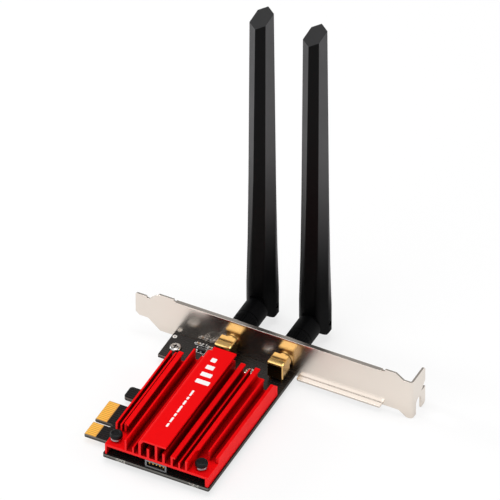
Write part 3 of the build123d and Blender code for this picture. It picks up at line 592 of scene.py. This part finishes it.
def eased(node, name, width, segments=2, sharp=35.0):
    """Copy a solid, break its edges by `width` millimetres and let the copy stand for it."""
    source = nodes[node]
    piece = bpy.data.objects.new(name, source.data.copy())
    bpy.context.scene.collection.objects.link(piece)
    only(piece)
    bpy.ops.object.mode_set(mode="EDIT")
    bpy.ops.mesh.select_all(action="SELECT")
    bpy.ops.mesh.remove_doubles(threshold=0.002 * mm)
    bpy.ops.mesh.dissolve_limited(angle_limit=radians(0.6))
    bpy.ops.object.mode_set(mode="OBJECT")
    use(
        piece, "BEVEL", width=width * mm, segments=segments, limit_method="ANGLE",
        angle_limit=radians(sharp), use_clamp_overlap=True, harden_normals=False,
    )
    smooth(piece)
    use(piece, "WEIGHTED_NORMAL", keep_sharp=True)
    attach(piece, source["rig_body"])
    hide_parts(node)
    print(name, "faces:", len(piece.data.polygons))


eased("heat_sink", "finned_block", 0.12)

# %% [markdown]
# The bracket, the antenna sockets and their nuts are metal too, and their edges shine.

# %% Break the edges of the bracket and the sockets
eased("bracket", "slot_bracket", 0.09)
for side in sides:
    eased(side + "_connector", side + "_socket", 0.16)
    eased(side + "_nut", side + "_socket_nut", 0.08)
    eased(side + "_antenna_base", side + "_swivel_base", 0.25, segments=3)

# %% [markdown]
# Screws and pins are round, so they could be spun from an outline. Here each is drawn up from
# a small disc as on a lathe: every ring is an extrusion of the last one, then scaled to its
# own radius. That keeps the rings even, and the rim of each step can be read as a pair of
# numbers, a radius and a height.

# %% Turning and copying
def metres(place):
    """A place in millimetres, as Blender counts it."""
    return [v * mm for v in place]


def begin(kind, name, place, **settings):
    """Add a primitive at a place in millimetres, with its place kept in its mesh."""
    bpy.ops.object.select_all(action="DESELECT")
    getattr(bpy.ops.mesh, f"primitive_{kind}_add")(location=metres(place), **settings)
    piece = bpy.context.object
    piece.name = name
    bpy.ops.object.transform_apply(location=True, rotation=True, scale=True)
    return piece


def shaping(piece, test):
    """Open a piece in edit mode with only those faces selected that pass a test."""
    only(piece)
    bpy.ops.object.mode_set(mode="EDIT")
    bpy.ops.mesh.select_mode(type="FACE")
    bpy.ops.mesh.select_all(action="DESELECT")
    bpy.ops.object.mode_set(mode="OBJECT")
    for face in piece.data.polygons:
        face.select = test(face)
    bpy.ops.object.mode_set(mode="EDIT")


def seal(piece):
    """Merge doubled points, turn every face outwards and leave edit mode."""
    only(piece)
    bpy.ops.object.mode_set(mode="EDIT")
    bpy.ops.mesh.select_all(action="SELECT")
    bpy.ops.mesh.remove_doubles(threshold=0.0005 * mm)
    bpy.ops.mesh.normals_make_consistent(inside=False)
    bpy.ops.object.mode_set(mode="OBJECT")


def turned(name, place, rings, steps=40):
    """Draw a round piece upwards through its (radius, height) rings, in millimetres."""
    x, y = place
    radius, height = rings[0]
    piece = begin(
        "circle", name, (x, y, height), vertices=steps, radius=radius * mm, fill_type="NGON"
    )
    shaping(piece, lambda face: True)
    for wider, higher in rings[1:]:
        bpy.ops.mesh.extrude_region_move(
            TRANSFORM_OT_translate={"value": (0, 0, (higher - height) * mm)}
        )
        ratio = wider / radius
        bpy.ops.transform.resize(
            value=(ratio, ratio, 1.0), center_override=metres((x, y, higher))
        )
        radius, height = wider, higher
    seal(piece)
    return piece


def copied(piece, name, move):
    """A copy of a piece with its own mesh, moved by millimetres."""
    only(piece)
    bpy.ops.object.duplicate(linked=False)
    made = bpy.context.object
    made.name = name
    made.location = metres(move)
    bpy.ops.object.transform_apply(location=True, rotation=False, scale=False)
    return made


def joined(pieces, name):
    """Join pieces into the first one."""
    bpy.ops.object.select_all(action="DESELECT")
    for piece in pieces:
        piece.select_set(True)
    bpy.context.view_layer.objects.active = pieces[0]
    bpy.ops.object.join()
    pieces[0].name = name
    return pieces[0]


def carved(piece, cutter):
    """Cut one closed piece out of another and throw the cutter away."""
    use(piece, "BOOLEAN", object=cutter, operation="DIFFERENCE", solver="EXACT")
    only(cutter)
    bpy.ops.object.delete()


def fitted(piece, finish, body="card", stands_for=None, soft=35.0):
    """Give a finished piece its material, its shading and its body."""
    piece.data.materials.clear()
    piece.data.materials.append(finish)
    smooth(piece, soft)
    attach(piece, body)
    if stands_for:
        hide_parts(stands_for)
    print(piece.name, "faces:", len(piece.data.polygons))


# %% [markdown]
# The board is held to the bracket's lugs by two pan-head screws with a cross recess. The
# recess is cut by two crossed wedges that narrow downwards, as the driver's tip does.

# %% Bracket screws
board_top = 0.8
screw_places = ((9.3, 51.2), (41.7, 51.2))
head_low, head_high = board_top, board_top + 1.3


def cross_recess(place, low, high, reach, width):
    """A cutter with two crossed wedges, narrower at their lower end."""
    middle = (*place, (low + high) / 2)
    here = metres(middle)
    arms = []
    for turn in (0.0, 90.0):
        arm = begin("cube", "recess_arm", middle, size=1.0 * mm)
        shaping(arm, lambda face: True)
        bpy.ops.transform.resize(value=(2 * reach, width, high - low), center_override=here)
        shaping(arm, lambda face: face.normal.z < -0.5)
        bpy.ops.transform.resize(value=(0.45, 0.7, 1.0), center_override=here)
        bpy.ops.mesh.select_all(action="SELECT")
        bpy.ops.transform.rotate(value=radians(turn), orient_axis="Z", center_override=here)
        bpy.ops.object.mode_set(mode="OBJECT")
        arms.append(arm)
    use(arms[0], "BOOLEAN", object=arms[1], operation="UNION", solver="EXACT")
    only(arms[1])
    bpy.ops.object.delete()
    return arms[0]


screw = turned(
    "bracket_screw",
    screw_places[0],
    (
        (0.90, -2.14), (1.24, -2.00), (1.02, -1.82), (1.24, -1.64), (1.02, -1.46), (1.24, -1.28),
        (1.24, head_low), (2.28, head_low), (2.40, head_low + 0.12), (2.40, head_low + 0.48),
        (2.28, head_low + 0.82), (1.98, head_low + 1.08), (1.50, head_low + 1.24),
        (0.80, head_low + 1.30), (0.10, head_low + 1.30),
    ),
    steps=48,
)
carved(screw, cross_recess(screw_places[0], head_high - 0.85, head_high + 0.2, 1.45, 0.62))
stride = (screw_places[1][0] - screw_places[0][0], 0.0, 0.0)
screws = joined([screw, copied(screw, "second_screw", stride)], "cross_head_screws")
fitted(screws, screw_steel, stands_for="bracket_screws")

# %% [markdown]
# Two nylon push pins hold the heat sink down: a round head with a shallow dish, a plain
# shank, and a split barb that snaps under the board.

# %% Push pins
pin_places = ((15.3, -11.0), (52.1, -11.0))
deck = 5.95
spring_room = 1.5  # between the deck and the pin's head
pin_low, head_under = -3.2, deck + spring_room

pin = turned(
    "push_pin",
    pin_places[0],
    (
        (0.55, pin_low), (0.82, pin_low + 0.12), (1.93, -1.15), (1.93, -0.95), (1.38, -0.84),
        (1.38, head_under), (2.38, head_under), (2.55, head_under + 0.18),
        (2.55, head_under + 1.05), (2.46, head_under + 1.42), (2.22, head_under + 1.70),
        (1.86, head_under + 1.86), (1.62, head_under + 1.88), (1.46, head_under + 1.78),
        (1.34, head_under + 1.58), (0.62, head_under + 1.58), (0.52, head_under + 1.68),
        (0.10, head_under + 1.70),
    ),
    steps=48,
)
slit_middle = (*pin_places[0], -1.9)
slit = begin("cube", "slit", slit_middle, size=1.0 * mm)
shaping(slit, lambda face: True)
bpy.ops.transform.resize(value=(5.0, 0.62, 3.4), center_override=metres(slit_middle))
bpy.ops.object.mode_set(mode="OBJECT")
carved(pin, slit)
stride = (pin_places[1][0] - pin_places[0][0], 0.0, 0.0)
pins = joined([pin, copied(pin, "second_pin", stride)], "snap_pins")
fitted(pins, pin_nylon, stands_for="push_pins")

# %% [markdown]
# A coil spring under each head keeps the heat sink pressed down. A Screw modifier sweeps a
# small ring of wire round the pin while it climbs, which is what the winding machine does;
# the two cut ends are then filled.

# %% Pin springs
wire_radius, coil_radius, coil_turns = 0.21, 2.02, 3
climb = (spring_room - 2 * wire_radius) / coil_turns
coils = []
for number, (x, y) in enumerate(pin_places):
    bpy.ops.object.select_all(action="DESELECT")
    bpy.ops.mesh.primitive_circle_add(
        vertices=12, radius=wire_radius * mm, rotation=(radians(90), 0, 0),
        location=metres((x, y, deck + wire_radius)),
    )
    coil = bpy.context.object
    coil.name = f"coil_{number}"
    bpy.ops.object.transform_apply(location=False, rotation=True, scale=False)
    bpy.ops.object.mode_set(mode="EDIT")
    bpy.ops.mesh.select_all(action="SELECT")
    bpy.ops.transform.translate(value=(coil_radius * mm, 0, 0))
    bpy.ops.object.mode_set(mode="OBJECT")
    use(
        coil, "SCREW", axis="Z", steps=32, render_steps=32, iterations=coil_turns,
        screw_offset=climb * mm, use_merge_vertices=False,
    )
    bpy.ops.object.mode_set(mode="EDIT")
    bpy.ops.mesh.select_all(action="SELECT")
    bpy.ops.mesh.fill_holes(sides=16)
    bpy.ops.object.mode_set(mode="OBJECT")
    bpy.ops.object.transform_apply(location=True, rotation=False, scale=False)
    seal(coil)
    coils.append(coil)
springs = joined(coils, "coil_springs")
fitted(springs, spring_steel, stands_for="pin_springs", soft=60.0)

# %% [markdown]
# Small soldered chips sit beside the left socket. Each has a ceramic body between two tinned
# ends, and the solder climbs the ends in a slope: the end's outer face is pulled out and its
# top is lowered. One chip is modelled and copied; capacitors are tan and resistors black.

# %% Chips
chip_length, chip_width, chip_height = 1.6, 0.8, 0.62
bracket_face = 59.3
chip_places = [
    (x, bracket_face - setback)
    for x, setback in (
        (16.3, 1.9), (18.9, 1.7), (21.6, 2.2), (24.2, 4.4),
        (22.8, 6.8), (24.2, 9.2), (22.8, 11.6),
    )
]


def broken(piece, edge):
    """Break the edges of a piece by `edge` millimetres."""
    use(
        piece, "BEVEL", width=edge * mm, segments=2, limit_method="ANGLE", angle_limit=radians(40)
    )


def block(name, middle, size, edge=0.0):
    """A box with broken edges, by its middle and its three sizes."""
    piece = begin("cube", name, middle, size=1.0 * mm)
    shaping(piece, lambda face: True)
    bpy.ops.transform.resize(value=size, center_override=metres(middle))
    bpy.ops.object.mode_set(mode="OBJECT")
    if edge:
        broken(piece, edge)
    return piece


first_x, first_y = chip_places[0]
chip_middle = board_top + 0.06 + chip_height / 2
body = block(
    "chip_body", (first_x, first_y, chip_middle),
    (chip_length - 0.5, chip_width - 0.04, chip_height - 0.04), 0.04,
)
ends = []
for way in (-1, 1):
    end = block(
        "chip_end", (first_x + way * (chip_length / 2 - 0.16), first_y, chip_middle),
        (0.32, chip_width, chip_height), 0.03,
    )
    shaping(end, lambda face: face.normal.x * way > 0.9)
    bpy.ops.mesh.extrude_region_move(TRANSFORM_OT_translate={"value": (way * 0.22 * mm, 0, 0)})
    bpy.ops.transform.resize(
        value=(1.0, 0.9, 0.16),
        center_override=metres((first_x + way * chip_length / 2, first_y, board_top + 0.04)),
    )
    bpy.ops.object.mode_set(mode="OBJECT")
    seal(end)
    ends.append(end)
end_pair = joined(ends, "chip_ends")

bodies, tins = {"tan": [], "black": []}, []
for number, (x, y) in enumerate(chip_places):
    move = (x - first_x, y - first_y, 0.0)
    bodies["black" if number % 3 == 1 else "tan"].append(copied(body, f"body_{number}", move))
    tins.append(copied(end_pair, f"ends_{number}", move))
for spare in (body, end_pair):
    only(spare)
    bpy.ops.object.delete()
capacitors = joined(bodies["tan"], "capacitor_bodies")
fitted(capacitors, chip_ceramic, stands_for="board_chips")
fitted(joined(tins, "chip_terminals"), solder_tin, stands_for="board_chips")

# %% [markdown]
# The regulator is a black moulded block with a draft on its sides and bent tin legs. A leg
# starts as a flat foot; its inner end is pulled up and then into the body.

# %% Regulator
regulator_x, regulator_y = 19.1, bracket_face - 4.9
regulator_size = (3.0, 1.4, 0.95)
regulator_middle = (regulator_x, regulator_y, board_top + 0.1 + regulator_size[2] / 2)
regulator = block("regulator_body", regulator_middle, regulator_size)
shaping(regulator, lambda face: face.normal.z > 0.5)
bpy.ops.transform.resize(value=(0.92, 0.86, 1.0), center_override=metres(regulator_middle))
bpy.ops.object.mode_set(mode="OBJECT")
broken(regulator, 0.06)
bodies["black"].append(regulator)
resistors = joined(bodies["black"], "resistor_bodies")
fitted(resistors, chip_black, stands_for="board_chips")

legs = []
for offset, way in ((-0.95, 1), (0.95, 1), (0.0, -1)):
    foot_y = regulator_y + way * 1.12
    leg = block("leg", (regulator_x + offset, foot_y, board_top + 0.07), (0.42, 0.42, 0.13))
    shaping(leg, lambda face: face.normal.y * way < -0.9)
    for pull in ((0.0, -way * 0.14, 0.42), (0.0, -way * 0.30, 0.0)):
        bpy.ops.mesh.extrude_region_move(TRANSFORM_OT_translate={"value": metres(pull)})
    bpy.ops.object.mode_set(mode="OBJECT")
    seal(leg)
    legs.append(leg)
fitted(joined(legs, "regulator_legs"), solder_tin, stands_for="board_chips")

# %% [markdown]
# White ink marks the places of the chips. A frame of ink starts as a flat square, its middle
# is inset and deleted, and what is left is thickened by a few hundredths of a millimetre.

# %% Ink on the board
ink = 0.03


def flat_ink(name, middle, size):
    """A flat rectangle, left in edit mode with its face selected."""
    piece = begin("plane", name, middle, size=1.0 * mm)
    shaping(piece, lambda face: True)
    bpy.ops.transform.resize(value=(*size, 1.0), center_override=metres(middle))
    return piece


def raised(piece):
    """Thicken flat ink and leave edit mode."""
    bpy.ops.mesh.select_all(action="SELECT")
    bpy.ops.mesh.extrude_region_move(TRANSFORM_OT_translate={"value": (0, 0, ink * mm)})
    bpy.ops.object.mode_set(mode="OBJECT")
    seal(piece)
    return piece


def ink_patch(name, middle, size, corner):
    """A thin slab of ink with rounded corners."""
    piece = flat_ink(name, middle, size)
    bpy.ops.mesh.bevel(offset=corner * mm, segments=4, affect="VERTICES")
    return raised(piece)


def ink_frame(name, middle, size, line=0.14):
    """A rectangle drawn with a line of ink."""
    piece = flat_ink(name, middle, size)
    bpy.ops.mesh.inset(thickness=line * mm)
    bpy.ops.mesh.delete(type="FACE")
    return raised(piece)


marks = [
    ink_frame(f"chip_frame_{number}", (x, y, board_top), (chip_length + 0.9, chip_width + 0.55))
    for number, (x, y) in enumerate(chip_places)
]
marks.append(ink_frame("regulator_frame", (regulator_x, regulator_y, board_top), (3.5, 3.2)))
ticks = (
    (14.6, 57.5, 0.8), (16.6, 55.6, 0.9), (17.0, 54.1, 0.6), (21.4, 55.2, 1.0), (22.0, 54.6, 0.7),
    (23.4, 57.2, 0.9), (20.8, 51.6, 0.8), (25.8, 50.2, 0.8), (21.2, 48.2, 1.0),
)  # a place and a length each
for number, (x, y, length) in enumerate(ticks):
    marks.append(ink_patch(f"tick_{number}", (x, y, board_top), (0.34, length), 0.1))
fitted(joined(marks, "board_ink"), print_white)

# %% [markdown]
# The flat top of the heat sink carries a printed mark: four rising bars, as on any signal
# meter, with a row of short dashes after them.

# %% Ink on the heat sink
plateau = 14.3
ink_level = plateau - 0.005  # a touch below the top, so the ink sits on it without a gap
bars = []
for number in range(4):
    length = 2.2 + 1.2 * number
    middle = (31.6 + length / 2, 38.0 - 4.4 * number, ink_level)
    bars.append(ink_patch(f"bar_{number}", middle, (length, 2.3), 0.35))
dash_start, dash_gap = 19.0, 0.75
for number, length in enumerate((3.4, 1.6, 2.6, 4.2, 1.8, 3.0, 2.2)):
    middle = (33.6, dash_start - length / 2, ink_level)
    bars.append(ink_patch(f"dash_{number}", middle, (0.85, length), 0.3))
    dash_start -= length + dash_gap
fitted(joined(bars, "heat_sink_ink"), print_white)

# %% [markdown]
# A plated hole sits in the board's corner beside the bracket. Under the board, solder climbs
# every leg of the antenna sockets in a small cone.

# %% Plated hole and solder
hole_place = (6.0, 57.15)
eyelet = turned(
    "corner_eyelet", hole_place,
    (
        (0.72, -0.84), (0.90, -0.84), (0.90, -0.79), (0.69, -0.79),
        (0.69, 0.79), (0.90, 0.79), (0.90, 0.85), (0.72, 0.85),
    ),
    steps=32,
)
bore = turned("bore", hole_place, ((0.50, -1.2), (0.50, 1.2)), steps=32)
carved(eyelet, bore)
# painted highlight: the eyelet's whitened tin stands in for the white floor seen through the hole
fitted(eyelet, white_tin)

board_bottom = -0.8
socket_y = 54.45
leg_offsets = ((-2.4, -2.25), (2.4, -2.25), (-2.4, 2.25), (2.4, 2.25), (0.0, 0.0))
leg_places = [(x + dx, socket_y + dy) for x in (29.5, 52.4) for dx, dy in leg_offsets]
cone = turned(
    "solder_cone", leg_places[0],
    (
        (0.30, -1.74), (0.52, -1.70), (0.58, -1.42), (0.72, -1.12), (0.98, -0.90),
        (1.10, board_bottom - 0.02), (1.10, board_bottom + 0.01),
    ),
    steps=24,
)
cones = [cone]
for number, (x, y) in enumerate(leg_places[1:], 1):
    move = (x - leg_places[0][0], y - leg_places[0][1], 0.0)
    cones.append(copied(cone, f"cone_{number}", move))
fitted(joined(cones, "socket_solder"), solder_tin, soft=50.0)

# %% [markdown]
# A pale paper floor is the whole background from this height. It glows a little for the camera
# and faintly in mirrors, so it comes out white and still keeps the card's shadow.

# %% Floor
floor_height = cad_box[0].z

bpy.ops.object.select_all(action="DESELECT")
bpy.ops.mesh.primitive_circle_add(
    vertices=96, radius=8.0, fill_type="NGON", location=(0.03, 0.04, floor_height)
)
floor = bpy.context.object
floor.name = "studio_floor"


def paper(wire):
    clouds = grain(wire, 400.0)
    return {"Base Color": clouds.blend((0.90, 0.90, 0.90), (0.93, 0.93, 0.93))}


def rays(wire):
    """What a ray is: the camera's own, a mirrored one, or one through something clear."""
    kinds = ("Camera", "Glossy", "Transmission")
    return [wire.node("LightPath", out=f"Is {kind} Ray") for kind in kinds]


floor_paper = shade("floor_paper", paper, roughness=0.9, specular_ior_level=0.1)
floor.data.materials.append(floor_paper)

tree = floor_paper.node_tree
wire = Wire(tree)
seen, mirrored, through = rays(wire)
glow = wire.node("Emission", inputs={"Color": (1.0, 1.0, 1.0, 1.0), "Strength": 1.0})
lit = Wire(tree, tree.nodes["Principled BSDF"].outputs[0])
whiter = wire.math("MAXIMUM", wire.math("MAXIMUM", seen, through), mirrored * 0.3) * 0.70
mixed = wire.node("MixShader", inputs={0: whiter, 1: lit, 2: glow})
tree.links.new(mixed.socket, tree.nodes["Material Output"].inputs["Surface"])
print("floor at", round(floor_height / mm, 2), "mm")

# %% [markdown]
# The surround is white to the camera and in mirrors, and dimmer as a lamp. Mirrors that look
# straight back past the card see a darker part of it, which gives the bright metal its contrast.

# %% Surround
world = bpy.data.worlds.new("surround")
bpy.context.scene.world = world
world.use_nodes = True
tree = world.node_tree
wire = Wire(tree)
seen, mirrored, through = rays(wire)
white = wire.math("MAXIMUM", wire.math("MAXIMUM", seen, mirrored), through)
ahead = wire.node("SeparateXYZ", inputs={"Vector": wire.node("TexCoord", out="Generated")}, out=1)
dim = ahead.between(-0.1, 0.60) * mirrored
strength = 0.45 + white * 0.55 - dim * 0.66
background = tree.nodes["Background"]
background.inputs["Color"].default_value = (1.0, 1.0, 1.0, 1.0)
tree.links.new(strength.socket, background.inputs["Strength"])
print("surround:", world.name)

# %% [markdown]
# The light is soft: a wide lamp overhead, another in front, and a smaller one on each side.

# %% Lamps
def lamp(name, place, target, width, power):
    light = bpy.data.lights.new(name, "AREA")
    light.shape = "DISK"
    light.size = width
    light.energy = power
    made = bpy.data.objects.new(name, light)
    bpy.context.scene.collection.objects.link(made)
    made.location = place
    made.rotation_euler = (Vector(target) - Vector(place)).to_track_quat("-Z", "Y").to_euler()
    print("lamp:", name)


middle = (0.03, 0.04, 0.05)
lamp("overhead", (0.00, 0.10, 1.30), middle, 0.9, 7.6)
lamp("front", (-0.50, -0.95, 0.95), middle, 1.3, 4.0)
lamp("left_side", (-1.10, 0.08, 0.40), middle, 0.35, 4.6)
lamp("right_side", (1.05, 0.20, 0.60), middle, 0.5, 2.4)
bpy.context.scene.view_settings.view_transform = "Standard"
